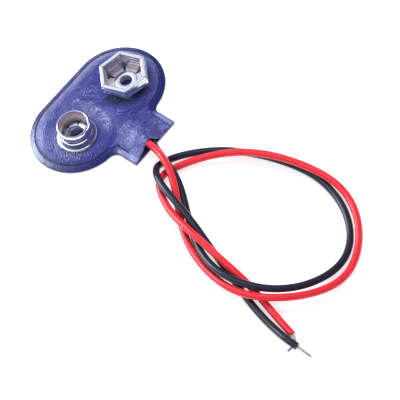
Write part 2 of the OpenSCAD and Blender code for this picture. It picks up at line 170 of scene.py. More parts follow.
class ContactSettings(bpy.types.PropertyGroup):
    """Sizes and colours of the stud, the socket and their eyelets."""
    pitch: metres("Pitch", "Distance between the axes of the contacts", 0.0127)
    sheet: metres("Sheet", "Thickness of the sheet metal", 0.0003)
    stud_head: metres("Stud head", "Diameter of the stud's head", 0.00572)
    stud_height: metres("Stud height", "Height of the stud above the vinyl", 0.0033)
    stud_neck: metres("Stud neck", "Diameter of the stud's neck", 0.0051)
    stud_mouth: metres("Stud mouth", "Diameter of the stud's mouth", 0.0055)
    stud_band: metres("Stud band", "Height of the straight band on the stud's head", 0.0007)
    stud_crown: metres("Stud crown", "Height of the rounded crown above the band", 0.0004)
    stud_undercut: metres("Stud undercut", "Height between the stud's neck and its band", 0.0003)
    stud_flange: metres("Stud flange", "Diameter of the stud's flange", 0.007)
    socket_flats: metres("Socket flats", "Distance across the flats of the rim", 0.0078)
    socket_height: metres("Socket height", "Height of the socket above the vinyl", 0.0029)
    socket_rim: metres("Socket rim", "Width of the flat rim", 0.00075)
    socket_grip: metres("Socket grip", "Distance between opposite fingers at the waist", 0.0058)
    socket_hem: metres("Socket hem", "Length of the hem", 0.0017)
    socket_turn: number_prop("Socket turn", "Turn of the hexagon about its axis", radians(-13),
                             subtype="ANGLE", unit="ROTATION")
    slit: metres("Slit", "Slit between two fingers", 0.0001)
    relief: metres("Relief", "Width of the hole between two fingers at the floor", 0.001)
    bore: metres("Bore", "Bore of the eyelets", 0.0021)
    eyelet_wall: metres("Eyelet wall", "Wall of the eyelets", 0.0002)
    eyelet_head: metres("Eyelet head", "Diameter of the eyelets' heads", 0.004)
    eyelet_flange: metres("Eyelet flange", "Diameter of the eyelets' back flanges", 0.004)
    petals: bpy.props.IntProperty(name="Petals", description="Petals of the stud's eyelet",
                                  default=6, min=4, max=8)
    nickel_colour: colour_prop("Nickel", "Colour of the plating", (0.82, 0.83, 0.87))
    inside_colour: colour_prop("Inside", "Colour of the thinly plated insides", (0.78, 0.64, 0.67))


class LeadSettings(bpy.types.PropertyGroup):
    """Sizes and colours of the leads."""
    diameter: metres("Lead", "Outside diameter of each lead", 0.0012)
    tip: metres("Bare end", "Diameter of the tinned ends", 0.0005)
    red_colour: colour_prop("Red", "Colour of the red lead", (0.94, 0.028, 0.045))
    black_colour: colour_prop("Black", "Colour of the black lead", (0.018, 0.018, 0.036))
    tinned_colour: colour_prop("Tinned", "Colour of the bare ends", (0.66, 0.64, 0.6))


class StageSettings(bpy.types.PropertyGroup):
    """Strengths of the lights."""
    key_watts: number_prop("Key", "Power of the key light", 1.55, unit="POWER")
    fill_watts: number_prop("Fill", "Power of the fill light", 0.55, unit="POWER")
    window_watts: number_prop("Window", "Power of the light seen only in reflections", 1.8, unit="POWER")
    sky: number_prop("Sky", "Strength of the light from all round", 0.32)
    sky_gloss: number_prop("Sky gloss", "Strength of the sky in reflections", 1.35)


# Small helpers for meshes

def ease(t):
    """Smooth step from 0 to 1."""
    t = min(1.0, max(0.0, t))
    return t * t * (3 - 2 * t)


def link_mesh(name, points, faces, edges=()):
    """A new object from points in metres and faces or bare edges."""
    mesh = bpy.data.meshes.new(name)
    mesh.from_pydata([tuple(p) for p in points], edges, faces)
    mesh.update()
    obj = bpy.data.objects.new(name, mesh)
    bpy.context.scene.collection.objects.link(obj)
    return obj


def discard(obj):
    """Removes an object and its mesh."""
    mesh = obj.data
    bpy.data.objects.remove(obj)
    bpy.data.meshes.remove(mesh)


def bake(obj):
    """Turns an object with modifiers into a plain mesh."""
    bpy.context.view_layer.update()
    depsgraph = bpy.context.evaluated_depsgraph_get()
    mesh = bpy.data.meshes.new_from_object(obj.evaluated_get(depsgraph))
    old = obj.data
    obj.modifiers.clear()
    obj.data = mesh
    mesh.name = obj.name
    bpy.data.meshes.remove(old)


def join_into(keep, extra):
    """Adds one mesh object's faces to another and removes it."""
    bm = bmesh.new()
    bm.from_mesh(keep.data)
    bm.from_mesh(extra.data)
    bm.to_mesh(keep.data)
    bm.free()
    discard(extra)


def tidy_mesh(obj, sharp=38, recalc=True):
    """Merges doubles, points faces outwards and keeps edges sharper than the angle crisp."""
    bm = bmesh.new()
    bm.from_mesh(obj.data)
    bmesh.ops.remove_doubles(bm, verts=bm.verts, dist=1e-7)
    if recalc:
        bmesh.ops.recalc_face_normals(bm, faces=bm.faces)
    for face in bm.faces:
        face.smooth = True
    for edge in bm.edges:
        edge.smooth = len(edge.link_faces) == 2 and edge.calc_face_angle(0) < radians(sharp)
    bm.to_mesh(obj.data)
    bm.free()
    obj.data.update()


def lathe(profile, x, turns=128):
    """Points and faces of a closed profile of (radius, height), turned about an upright axis at x."""
    n = len(profile)
    points, faces = [], []
    for k in range(turns):
        a = 2 * pi * k / turns
        points += [(x + r * cos(a), r * sin(a), z) for r, z in profile]
        m = (k + 1) % turns
        for i in range(n):
            j = (i + 1) % n
            faces.append((k * n + i, m * n + i, m * n + j, k * n + j))
    return points, faces


def arc(cx, cy, r, start, end, steps):
    """Points of an arc, angles in degrees."""
    turns = [radians(start + (end - start) * i / steps) for i in range(steps + 1)]
    return [(cx + r * cos(a), cy + r * sin(a)) for a in turns]


def sheet_sides(line, halves):
    """Row, radius and height along both faces of a folded sheet, half its thickness off its middle line."""
    last = len(line) - 1
    for side in (1, -1):
        for i, (r, z) in enumerate(line):
            (ar, az), (br, bz) = line[max(i - 1, 0)], line[min(i + 1, last)]
            step = side * halves[i] / hypot(br - ar, bz - az)
            yield i, r - (bz - az) * step, z + (br - ar) * step


def sheet_faces(rows, across):
    """Faces of a closed sheet: two grids of points, one behind the other, joined round the edge."""
    size = rows * across
    faces = []
    for i in range(rows - 1):
        left, below = i * across, (i + 1) * across
        for j in range(across - 1):
            a, b, c, d = left + j, left + j + 1, below + j + 1, below + j
            faces += [(a, b, c, d), (size + a, size + d, size + c, size + b)]
        for a, b in ((left, below), (below + across - 1, left + across - 1)):
            faces.append((a, b, size + b, size + a))
    for j in range(across - 1):
        a, b = j, j + 1
        c, d = size - across + j, size - across + j + 1
        faces += [(a, size + a, size + b, b), (c, d, size + d, size + c)]
    return faces


def paint(obj, name, rule):
    """A number on every point, from a rule of its place."""
    layer = obj.data.attributes.new(name, "FLOAT", "POINT")
    layer.data.foreach_set("value", [rule(v.co) for v in obj.data.vertices])


def dress(obj, mat, node):
    """Gives a finished piece its material and its body, and hides the solid that it stands for."""
    obj.data.materials.clear()
    obj.data.materials.append(mat)
    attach(obj, "root")
    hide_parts(node)


def smooth_line(route):
    """Points in metres along the smooth cubic that the solids' tubes follow."""
    p = [Vector([c / ROUTE_UNITS for c in q]) for q in route]
    p = [2 * p[0] - p[1]] + p + [2 * p[-1] - p[-2]]
    line = []
    for i in range(1, len(p) - 2):
        a, b, c, d = p[i - 1:i + 3]
        for k in range(LINE_STEPS):
            t = k / LINE_STEPS
            line.append(((1 - t) ** 3 * a + (3 * t ** 3 - 6 * t * t + 4) * b
                         + (-3 * t ** 3 + 3 * t * t + 3 * t + 1) * c + t ** 3 * d) / 6)
    line.append((p[-3] + 4 * p[-2] + p[-1]) / 6)
    return line


# Node trees

class Tree:
    """Adds nodes to one tree and links them."""

    def __init__(self, tree):
        self.tree = tree

    def feed(self, socket, value):
        """Sets an input or links a socket to it."""
        if isinstance(value, bpy.types.NodeSocket):
            self.tree.links.new(value, socket)
        else:
            socket.default_value = value

    def add(self, kind, *feeds, **settings):
        """A node with its settings, inputs by name and inputs in order."""
        node = self.tree.nodes.new(kind)
        for key, value in settings.items():
            if hasattr(node, key):
                setattr(node, key, value)
            else:
                self.feed(node.inputs[key.replace("_", " ")], value)
        for socket, value in zip(node.inputs, feeds):
            self.feed(socket, value)
        return node

    def calc(self, how, a, b):
        """A sum on two numbers."""
        return self.add("ShaderNodeMath", a, b, operation=how).outputs[0]

    def ramp(self, value, *stops):
        """Colours along a value; each stop is a place and a grey level or a colour."""
        node = self.add("ShaderNodeValToRGB", value)
        band = node.color_ramp.elements
        band[0].position = stops[0][0]
        band[1].position = stops[-1][0]
        for spot, _ in stops[1:-1]:
            band.new(spot)
        for element, (_, colour) in zip(band, stops):
            element.color = (colour,) * 3 + (1,) if isinstance(colour, (int, float)) else (*colour, 1)
        return node.outputs["Color"]


def empty_tree(owner):
    """The cleared node tree of a world or a material."""
    owner.use_nodes = True
    owner.node_tree.nodes.clear()
    return Tree(owner.node_tree)


def open_tree(name, result, **inputs):
    """A geometry tree with named inputs, and the sockets that give them."""
    group = bpy.data.node_groups.new(name, "GeometryNodeTree")
    for label, kind in inputs.items():
        group.interface.new_socket(label, in_out="INPUT", socket_type="NodeSocket" + kind)
    group.interface.new_socket(result, in_out="OUTPUT", socket_type="NodeSocketGeometry")
    return Tree(group), group.nodes.new("NodeGroupInput").outputs


def close_tree(tree, shape, finish):
    """Makes instances real, sets the material and hands the shape out."""
    real = tree.add("GeometryNodeRealizeInstances", shape)
    done = tree.add("GeometryNodeSetMaterial", Geometry=real.outputs["Geometry"], Material=finish)
    tree.add("NodeGroupOutput", done.outputs["Geometry"])
    return tree.tree


def swept_wire_tree(name):
    """Sweeps a round section along every line of a mesh, as thick as its girth says."""
    tree, given = open_tree(name, "Wire", Line="Geometry", Radius="Float", Sides="Int", Finish="Material")
    line = tree.add("GeometryNodeMeshToCurve", Mesh=given["Line"])
    girth = tree.add("GeometryNodeInputNamedAttribute", data_type="FLOAT", Name="girth")
    thick = tree.add("GeometryNodeSetCurveRadius", Curve=line.outputs["Curve"],
                     Radius=girth.outputs["Attribute"])
    section = tree.add("GeometryNodeCurvePrimitiveCircle", Resolution=given["Sides"], Radius=given["Radius"])
    sweep = tree.add("GeometryNodeCurveToMesh", Curve=thick.outputs["Curve"],
                     Profile_Curve=section.outputs["Curve"], Fill_Caps=True)
    return close_tree(tree, sweep.outputs["Mesh"], given["Finish"])


def ring_of_tree(name):
    """Repeats a shape round an upright axis."""
    tree, given = open_tree(name, "Ring", Shape="Geometry", Count="Int", Axis="Vector", Finish="Material")
    one = tree.add("GeometryNodeGeometryToInstance", given["Shape"])
    many = tree.add("GeometryNodeDuplicateElements", domain="INSTANCE", Geometry=one.outputs[0],
                    Amount=given["Count"])
    share = tree.calc("DIVIDE", 2 * pi, given["Count"])
    angle = tree.calc("MULTIPLY", share, many.outputs["Duplicate Index"])
    about = tree.add("ShaderNodeCombineXYZ", Z=angle)
    turn = tree.add("GeometryNodeRotateInstances", Instances=many.outputs["Geometry"],
                    Rotation=about.outputs[0], Pivot_Point=given["Axis"], Local_Space=False)
    return close_tree(tree, turn.outputs["Instances"], given["Finish"])


TREE_MAKERS = {"Swept wire": swept_wire_tree, "Ring of": ring_of_tree}


def run_tree(obj, name, **values):
    """Runs a tree on an object with the given inputs and keeps the result as a plain mesh."""
    tree = bpy.data.node_groups.get(name) or TREE_MAKERS[name](name)
    mod = obj.modifiers.new(name, "NODES")
    mod.node_group = tree
    for item in tree.interface.items_tree:
        if item.name in values:
            mod[item.identifier] = values[item.name]
    bake(obj)


# Materials

class Shader(Tree):
    """Builds one procedural material."""

    def __init__(self, name):
        self.mat = bpy.data.materials.new(name)
        self.mat.use_nodes = True
        super().__init__(self.mat.node_tree)
        self.bsdf = self.tree.nodes["Principled BSDF"]
        self.place = self.add("ShaderNodeTexCoord").outputs["Object"]

    def finish(self, **values):
        """The material, with the inputs of its surface."""
        for key, value in values.items():
            self.feed(self.bsdf.inputs[key.replace("_", " ")], value)
        return self.mat

    def noise(self, scale, detail=2.0, rough=0.5, distort=0.0, give="Fac"):
        """Cloudy pattern from 0 to 1."""
        node = self.add("ShaderNodeTexNoise", Vector=self.place, Scale=scale, Detail=detail,
                        Roughness=rough, Distortion=distort)
        return node.outputs[give]

    def mix(self, share, a, b):
        """Colour a turning into b."""
        node = self.add("ShaderNodeMix", share, data_type="RGBA")
        for socket, value in zip(node.inputs[6:8], (a, b)):
            self.feed(socket, value if isinstance(value, bpy.types.NodeSocket) else (*value, 1))
        return node.outputs[2]

    def plus(self, base, value, share):
        """A base with a share of a value added."""
        return self.calc("ADD", base, self.calc("MULTIPLY", value, share))

    def point(self, name):
        """A number painted on the mesh."""
        return self.add("ShaderNodeAttribute", attribute_name=name).outputs["Fac"]

    def bump(self, height, depth, strength):
        """Bends the surface by a height pattern; depth is in metres."""
        return self.add("ShaderNodeBump", Strength=strength, Distance=depth, Height=height).outputs["Normal"]


def scaled(colour, share, extra=0):
    """A colour made darker or lighter."""
    return [min(1, c * share + extra) for c in colour]


def vinyl_finish(settings):
    """Grained vinyl: fine wrinkles, faint ridges like a fingerprint's and a smoother pressed rim."""
    s = Shader("grained_vinyl")
    wander = s.add("ShaderNodeVectorMath", s.noise(520, give="Color"), operation="SCALE", Scale=0.0022)
    centred = s.add("ShaderNodeMapping", Location=(0.0006, 0.0056, 0), Vector=s.place)
    swirled = s.add("ShaderNodeVectorMath", centred.outputs[0], wander.outputs[0], operation="ADD")
    ridges = s.add("ShaderNodeTexWave", wave_type="RINGS", rings_direction="SPHERICAL", Scale=1040,
                   Vector=swirled.outputs[0], Distortion=2.5, Detail=2, Detail_Scale=1.5).outputs["Fac"]
    wrinkles = s.noise(2500, 3, 0.55, 0.8)
    patches = s.ramp(s.noise(230), (0.36, 0.3), (0.6, 0.7))
    blend = s.add("ShaderNodeMix", data_type="FLOAT", Factor=patches)
    s.feed(blend.inputs[2], wrinkles)
    s.feed(blend.inputs[3], ridges)
    grain = blend.outputs[0]
    rim = s.point("rim")
    body = s.mix(s.ramp(grain, (0.34, 0.0), (0.66, 1.0)), settings.valley_colour, settings.ridge_colour)
    body = s.mix(s.calc("MULTIPLY", rim, 0.95), body, settings.rim_colour)
    # Painted sheen: the weld strips beside the tab are paled where they would catch the light
    body = s.mix(s.calc("MULTIPLY", s.point("painted_ear_sheen"), 0.8), body, settings.painted_ear_sheen_colour)
    grained = s.bump(s.calc("MULTIPLY", grain, s.plus(1.0, rim, -0.8)), 0.0001, 1.0)
    # The cut mask darkens the cut edge and paints shade in the pressed line and shadow under and round the
    # contacts
    return s.finish(Base_Color=s.mix(s.point("cut"), body, settings.edge_and_shade_colour), Specular_IOR_Level=0.9,
                    Roughness=s.plus(s.plus(0.34, wrinkles, 0.2), rim, -0.16), Normal=grained,
                    Coat_Weight=0.5, Coat_Roughness=0.36, Coat_Normal=grained)


def nickel_finish(settings, name):
    """Bright plating with fine turning marks, warmer and duller inside the cups."""
    s = Shader(name)
    cloud = s.noise(900, 3, 0.55)
    inside = s.point("inside")
    shine = s.mix(cloud, settings.nickel_colour, scaled(settings.nickel_colour, 1.12))
    return s.finish(Base_Color=s.mix(inside, shine, settings.inside_colour),
                    Roughness=s.plus(s.plus(0.07, cloud, 0.1), inside, 0.12),
                    Metallic=s.plus(1.0, inside, -0.6), Normal=s.bump(s.noise(9000, 2, 0.6), 0.000004, 0.5))


def sleeve_finish(name, colour):
    """Soft PVC: faint mottling and a satin gloss."""
    s = Shader(name)
    mottle = s.noise(1500, 3, 0.6)
    return s.finish(Base_Color=s.mix(mottle, scaled(colour, 0.9), scaled(colour, 1.08, 0.003)),
                    Specular_IOR_Level=0.42, Roughness=s.plus(0.17, mottle, 0.1),
                    Normal=s.bump(s.noise(2600), 0.000005, 0.6))


def tinned_finish(settings):
    """Tinned strands: dull grey metal with bright spots."""
    s = Shader("tinned_strands")
    spots = s.noise(2400, 3, 0.6)
    tint = s.mix(spots, scaled(settings.tinned_colour, 0.7), scaled(settings.tinned_colour, 1.35))
    return s.finish(Base_Color=tint, Metallic=0.55, Roughness=s.plus(0.3, spots, 0.25),
                    Normal=s.bump(spots, 0.00001, 0.5))


def fibre_finish():
    """Brown fibre board with flecks."""
    s = Shader("fibre_board")
    flecks = s.noise(1800, 4, 0.65)
    return s.finish(Base_Color=s.ramp(flecks, (0.3, (0.09, 0.05, 0.028)), (0.7, (0.2, 0.12, 0.065))),
                    Roughness=s.plus(0.6, flecks, 0.25), Normal=s.bump(flecks, 0.00003, 0.6))


def solder_finish():
    """Bright solder with a frosted skin."""
    s = Shader("solder_skin")
    frost = s.noise(2600, 3, 0.6)
    return s.finish(Base_Color=s.ramp(frost, (0.3, 0.42), (0.75, 0.68)), Metallic=1.0,
                    Roughness=s.plus(0.2, frost, 0.25), Normal=s.bump(frost, 0.00001, 0.5))


# Shape of the pouch

class PouchShape:
    """Outline and heights of the covers, in metres, by the rules that the solids follow."""
    # Least share of a step that a ring takes where the edge runs towards the middle
    ray_grip = 0.5
    # Panel: where it starts inside the edge, how wide it rises, how it bulges, and the contacts' hold on it
    foot = 0.00095
    rise = 0.0024
    bulge = 2.5
    seat_margin = 0.00075
    puff_width = 0.0019
    # Channel over the leads: room, start, run, half width, and the flare of its mouth
    lead_room = 0.00012
    channel_start = 0.001
    channel_run = 0.006
    along = 0.0028
    flare_start = 0.0074
    flare_shift = -0.0009
    flare_rise = 0.00095
    stud_side = 0.0022
    socket_side = 0.00125
    # Rim: where the tab's sides begin, the width of its fall, and the place and width of its groove
    tab_start = 0.0086
    tab_blend = 0.0016
    mouth_blend = 0.0006
    fall_width = 0.00095
    groove_at = 0.00108
    groove_width = 0.00012
    # Soft creases fade in over this height; each has two ends, a half width and a share of the height
    crease_blend = 0.0006
    creases = (
        ((-0.001, 0.0042), (-0.0003, 0.0013), 0.0005, 1.2),
        ((-0.0019, 0.0027), (-0.0011, 0.001), 0.0006, -1.0),
        ((-0.0098, -0.0029), (-0.0121, -0.0039), 0.0006, 0.5),
        ((-0.0086, -0.0041), (-0.0098, -0.0059), 0.0006, 0.5),
        ((-0.0107, -0.0012), (-0.0128, -0.0012), 0.0006, 0.4),
    )

    def __init__(self, pouch, contact, lead):
        self.p = pouch
        self.snap_x = contact.pitch / 2
        self.seat_ring = contact.stud_flange / 2 + self.seat_margin
        self.rim = 2 * pouch.vinyl
        self.low = lead.diameter + self.lead_room

    def outline(self, fine):
        """Points of the cut edge, clockwise from the middle of the far edge."""
        p = self.p
        lobe_x, tab_x = p.lobe_spread / 2, p.tab_width / 2
        notch_x = tab_x + p.notch - lobe_x
        notch_y = p.lobe_shift - sqrt((p.lobe_radius + p.notch) ** 2 - notch_x ** 2)
        turn = degrees(atan2(notch_y - p.lobe_shift, notch_x))
        half = [(lobe_x * i / (6 * fine), p.lobe_shift + p.lobe_radius) for i in range(6 * fine)]
        half += arc(lobe_x, p.lobe_shift, p.lobe_radius, 90, turn, 26 * fine)
        half += arc(tab_x + p.notch, notch_y, p.notch, turn + 180, 180, 4 * fine)[1:]
        half += [(tab_x, notch_y + (-p.tab_reach - notch_y) * i / (5 * fine)) for i in range(1, 5 * fine + 1)]
        half += [(tab_x * (1 - i / (7 * fine)), -p.tab_reach) for i in range(1, 7 * fine + 1)]
        return half + [(-x, y) for x, y in reversed(half[1:-1])]

    def depth(self, x, y):
        """Distance in from the lobes' edge."""
        return self.p.lobe_radius - hypot(max(0, abs(x) - self.p.lobe_spread / 2), y - self.p.lobe_shift)

    def away(self, x, y):
        """Distance from the nearer contact's axis."""
        return hypot(abs(x) - self.snap_x, y)

    def flare(self, y):
        """0 up to the neck of the tab, 1 at its mouth."""
        return ease((-y - self.flare_start) / (self.p.tab_reach - self.flare_start))

    def on_lobe(self, y):
        """1 on the lobes' edge, 0 on the sides of the tab."""
        return ease((y + self.tab_start) / self.tab_blend)

    def top(self, x, y):
        """Height of the front cover's upper face."""
        p = self.p
        free = ease((self.away(x, y) - self.seat_ring) / self.puff_width)
        inward = min(1, max(0, (self.depth(x, y) - self.foot) / self.rise))
        panel = (1 - (1 - inward) ** self.bulge) * (p.seat - self.rim + p.puff * free * inward)
        flare = self.flare(y)
        side = x - self.flare_shift * flare
        width = self.along + ((self.stud_side if side < 0 else self.socket_side) - self.along) * flare
        channel = (self.low + self.flare_rise * flare) * free * exp(-(side / width) ** 2)
        channel *= ease((self.channel_start - y) / self.channel_run)
        height = self.rim + (panel ** 3 + channel ** 3) ** (1 / 3)
        raised = ease((height - self.rim) / self.crease_blend) * free
        for (ax, ay), (bx, by), width, share in self.creases:
            ux, uy = bx - ax, by - ay
            t = min(1, max(0, ((x - ax) * ux + (y - ay) * uy) / (ux * ux + uy * uy)))
            gap = hypot(x - ax - t * ux, y - ay - t * uy) / width
            height += p.crease * share * raised * exp(-gap * gap)
        return height

    def pressed(self, depth, edge_y):
        """The rim's fall and the groove's depth at a distance from the cut edge; none at the mouth."""
        welded = ease((edge_y + self.p.tab_reach) / self.mouth_blend)
        fall = self.p.rim_fall * max(0, 1 - depth / self.fall_width) * (0.15 + 0.85 * self.on_lobe(edge_y))
        groove = self.p.groove * exp(-((depth - self.groove_at) / self.groove_width) ** 2)
        return fall * welded, groove * welded

    def ring(self, edge, depth):
        """The edge moved in towards the middle by about a depth."""
        ring = []
        for i, (x, y) in enumerate(edge):
            (ax, ay), (bx, by) = edge[i - 1], edge[(i + 1) % len(edge)]
            tx, ty = bx - ax, by - ay
            size, reach = hypot(tx, ty), hypot(x, y)
            facing = abs((x * -ty + y * tx) / (size * reach))
            step = depth / max(self.ray_grip, facing)
            ring.append((x - x / reach * step, y - y / reach * step))
        return ring


def shrunk(ring, steps):
    """Copies of a ring that shrink towards the middle."""
    return [[(x * (1 - k / steps), y * (1 - k / steps)) for x, y in ring] for k in range(1, steps)]


def shell(rings_top, rings_low, middle_top, middle_low):
    """Points and faces of a closed shell from matching rings, outermost first."""
    n = len(rings_top[0])
    points = [q for ring in rings_top for q in ring] + [middle_top]
    shift = len(points)
    points += [q for ring in rings_low for q in ring] + [middle_low]
    last = (len(rings_top) - 1) * n
    faces = []
    for row in range(0, last, n):
        for i in range(n):
            a, b = row + i, row + (i + 1) % n
            faces.append((a, b, b + n, a + n))
            faces.append((shift + a, shift + a + n, shift + b + n, shift + b))
    for i in range(n):
        j = (i + 1) % n
        faces.append((last + i, last + j, shift - 1))
        faces.append((shift + last + i, len(points) - 1, shift + last + j))
        faces.append((i, shift + i, shift + j, j))
    return points, faces


def drill(obj, holes, radius, depth):
    """Cuts round holes down through a piece."""
    cutters = []
    for x in holes:
        bm = bmesh.new()
        bmesh.ops.create_cone(bm, cap_ends=True, segments=64, radius1=radius, radius2=radius, depth=depth,
                              matrix=Matrix.Translation((x, 0, 0)))
        cutter = link_mesh("drill", [], [])
        bm.to_mesh(cutter.data)
        bm.free()
        mod = obj.modifiers.new("hole", "BOOLEAN")
        mod.operation = "DIFFERENCE"
        mod.solver = "EXACT"
        mod.object = cutter
        cutters.append(cutter)
    bake(obj)
    for cutter in cutters:
        discard(cutter)


def rivet_hole(contact):
    """Radius of the holes that the eyelets' barrels pass through."""
    return contact.bore / 2 + contact.eyelet_wall + HOLE_GAP


def eyelet_sizes(scene):
    """Radii of the bore, the head and the back flange, the wall, the board's back and the contact's floor."""
    contact = scene.snap_contact
    return (contact.bore / 2, contact.eyelet_head / 2, contact.eyelet_flange / 2, contact.eyelet_wall,
            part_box("contact_board")[0].z, scene.snap_pouch.seat + contact.sheet)


# Operators, each after the functions that only it uses

def add_camera(scene):
    """The camera that was fitted to the photograph."""
    turn, lift, roll = (radians(a) for a in CAMERA_ANGLES)
    back = Vector((sin(turn) * cos(lift), -cos(turn) * cos(lift), sin(lift)))
    level = Vector((cos(turn), sin(turn), 0))
    upright = back.cross(level)
    right = cos(roll) * level + sin(roll) * upright
    up = cos(roll) * upright - sin(roll) * level
    data = bpy.data.cameras.new("camera")
    data.lens = CAMERA_LENS
    data.sensor_width = 36
    data.clip_start = 0.01
    data.clip_end = 20
    camera = bpy.data.objects.new("camera", data)
    place = CAMERA_PLACE[0] * right + CAMERA_PLACE[1] * up + CAMERA_PLACE[2] * back
    axes = Matrix((right, up, back)).transposed()
    camera.matrix_world = Matrix.Translation(place) @ axes.to_4x4()
    scene.collection.objects.link(camera)
    scene.camera = camera


def add_light(scene, name, place, size, watts, soft=True, gloss=True):
    """A square light that shows in matt surfaces, in reflections or in both."""
    data = bpy.data.lights.new(name, "AREA")
    data.size = size
    data.energy = watts
    data.color = (1, 1, 1) if soft else WINDOW_TINT
    lamp = bpy.data.objects.new(name, data)
    lamp.location = place
    lamp.visible_diffuse = soft
    lamp.visible_glossy = gloss
    aim = Vector(LIGHT_AIM) - Vector(place)
    lamp.rotation_euler = aim.to_track_quat("-Z", "Y").to_euler()
    scene.collection.objects.link(lamp)


def add_sky(scene, stage):
    """Even light, a brighter far side in reflections, and white where the backdrop is seen."""
    scene.world = bpy.data.worlds.new("sky")
    tree = empty_tree(scene.world)
    rays = tree.add("ShaderNodeLightPath").outputs
    way = tree.add("ShaderNodeTexCoord").outputs["Generated"]
    facing = tree.add("ShaderNodeVectorMath", way, SKY_WAY, operation="DOT_PRODUCT").outputs["Value"]
    white = tree.add("ShaderNodeBackground", (1, 1, 1, 1))
    soft = tree.add("ShaderNodeBackground", SKY_TINT, stage.sky)
    sheen = tree.add("ShaderNodeBackground", tree.ramp(facing, *SKY_STOPS), stage.sky_gloss)
    lit = tree.add("ShaderNodeMixShader", rays["Is Glossy Ray"], soft.outputs[0], sheen.outputs[0])
    seen = seen_rays(tree, rays, "Is Transmission Ray")
    shown = tree.add("ShaderNodeMixShader", seen, lit.outputs[0], white.outputs[0])
    tree.add("ShaderNodeOutputWorld", shown.outputs[0])


def seen_rays(tree, rays, *kinds):
    """One for the rays that show the white backdrop, nought for those that light the object."""
    share = rays["Is Camera Ray"]
    for kind in kinds:
        share = tree.calc("MAXIMUM", share, rays[kind])
    return share


def add_floor():
    """White floor that takes the shadow and glows where it is seen."""
    corners = [(x * FLOOR_HALF, y * FLOOR_HALF, FLOOR_LEVEL) for x, y in ((-1, -1), (1, -1), (1, 1), (-1, 1))]
    obj = link_mesh("floor", corners, [(0, 1, 2, 3)])
    mat = bpy.data.materials.new("floor_white")
    tree = empty_tree(mat)
    rays = tree.add("ShaderNodeLightPath").outputs
    seen = seen_rays(tree, rays, "Is Transmission Ray", "Is Glossy Ray")
    matt = tree.add("ShaderNodeBsdfDiffuse", FLOOR_COLOUR)
    glow = tree.add("ShaderNodeEmission", Strength=tree.calc("MULTIPLY", seen, FLOOR_GLOW))
    both = tree.add("ShaderNodeAddShader", matt.outputs[0], glow.outputs[0])
    tree.add("ShaderNodeOutputMaterial", both.outputs[0])
    obj.data.materials.append(mat)


class SNAP_OT_stage(bpy.types.Operator):
    """Camera at the photograph's angle, white floor and backdrop, soft light from above and behind"""
    bl_idname = "snap.stage"
    bl_label = "Stage"

    def execute(self, context):
        scene = context.scene
        stage = scene.snap_stage
        scene.view_settings.view_transform = "Standard"
        add_camera(scene)
        add_light(scene, "key", (0.15, 0.09, 0.39), 0.16, stage.key_watts, gloss=False)
        add_light(scene, "fill", (-0.3, -0.1, 0.26), 0.3, stage.fill_watts, gloss=False)
        add_light(scene, "window", (-0.13, 0.34, 0.2), 0.26, stage.window_watts, soft=False)
        add_sky(scene, stage)
        add_floor()
        return {"FINISHED"}


def bare_wire(name, lines, girth):
    """An object that holds bare lines with a girth at each point."""
    points, edges = [], []
    for line in lines:
        start = len(points)
        points += line
        edges += [(start + i, start + i + 1) for i in range(len(line) - 1)]
    obj = link_mesh(name, points, [], edges)
    layer = obj.data.attributes.new("girth", "FLOAT", "POINT")
    layer.data.foreach_set("value", girth)
    return obj


def twisted_strands(line, radius):
    """One strand along the middle and others twisted round it, with their taper towards the tip."""
    last = len(line) - 1
    taper = [1 - STRAND_TAPER * (i / last) ** 3 for i in range(last + 1)]
    lines = [line]
    for k in range(STRANDS):
        strand = []
        for i, q in enumerate(line):
            along = (line[min(i + 1, last)] - line[max(i - 1, 0)]).normalized()
            side = Vector((0, 0, 1)).cross(along).normalized()
            up = along.cross(side)
            a = radians(360 / STRANDS * k + STRAND_TWIST * i)
            strand.append(q + (cos(a) * side + sin(a) * up) * radius * STRAND_OUT * taper[i])
        lines.append(strand)
    return lines, taper


class SNAP_OT_leads(bpy.types.Operator):
    """Two PVC leads that leave the tab and lie in one loop, with bare tinned ends"""
    bl_idname = "snap.leads"
    bl_label = "Leads"

    def execute(self, context):
        lead = context.scene.snap_lead
        tinned = tinned_finish(lead)
        for name, route, tip_route, colour in (("red", RED_ROUTE, RED_TIP_ROUTE, lead.red_colour),
                                               ("black", BLACK_ROUTE, BLACK_TIP_ROUTE, lead.black_colour)):
            line = smooth_line(route)
            sleeve = bare_wire(name + "_sleeve", [line], [1.0] * (len(line) - 1) + [SLEEVE_END])
            finish = sleeve_finish(name + "_pvc", colour)
            run_tree(sleeve, "Swept wire", Radius=lead.diameter / 2, Sides=SLEEVE_SIDES, Finish=finish)
            tidy_mesh(sleeve)
            dress(sleeve, finish, name + "_lead")
            strands, taper = twisted_strands(smooth_line(tip_route), lead.tip / 2)
            tip = bare_wire(name + "_strands", strands, taper * len(strands))
            run_tree(tip, "Swept wire", Radius=lead.tip / 2 * STRAND_RADIUS, Sides=STRAND_SIDES,
                     Finish=tinned)
            tidy_mesh(tip)
            dress(tip, tinned, name + "_tip")
        return {"FINISHED"}


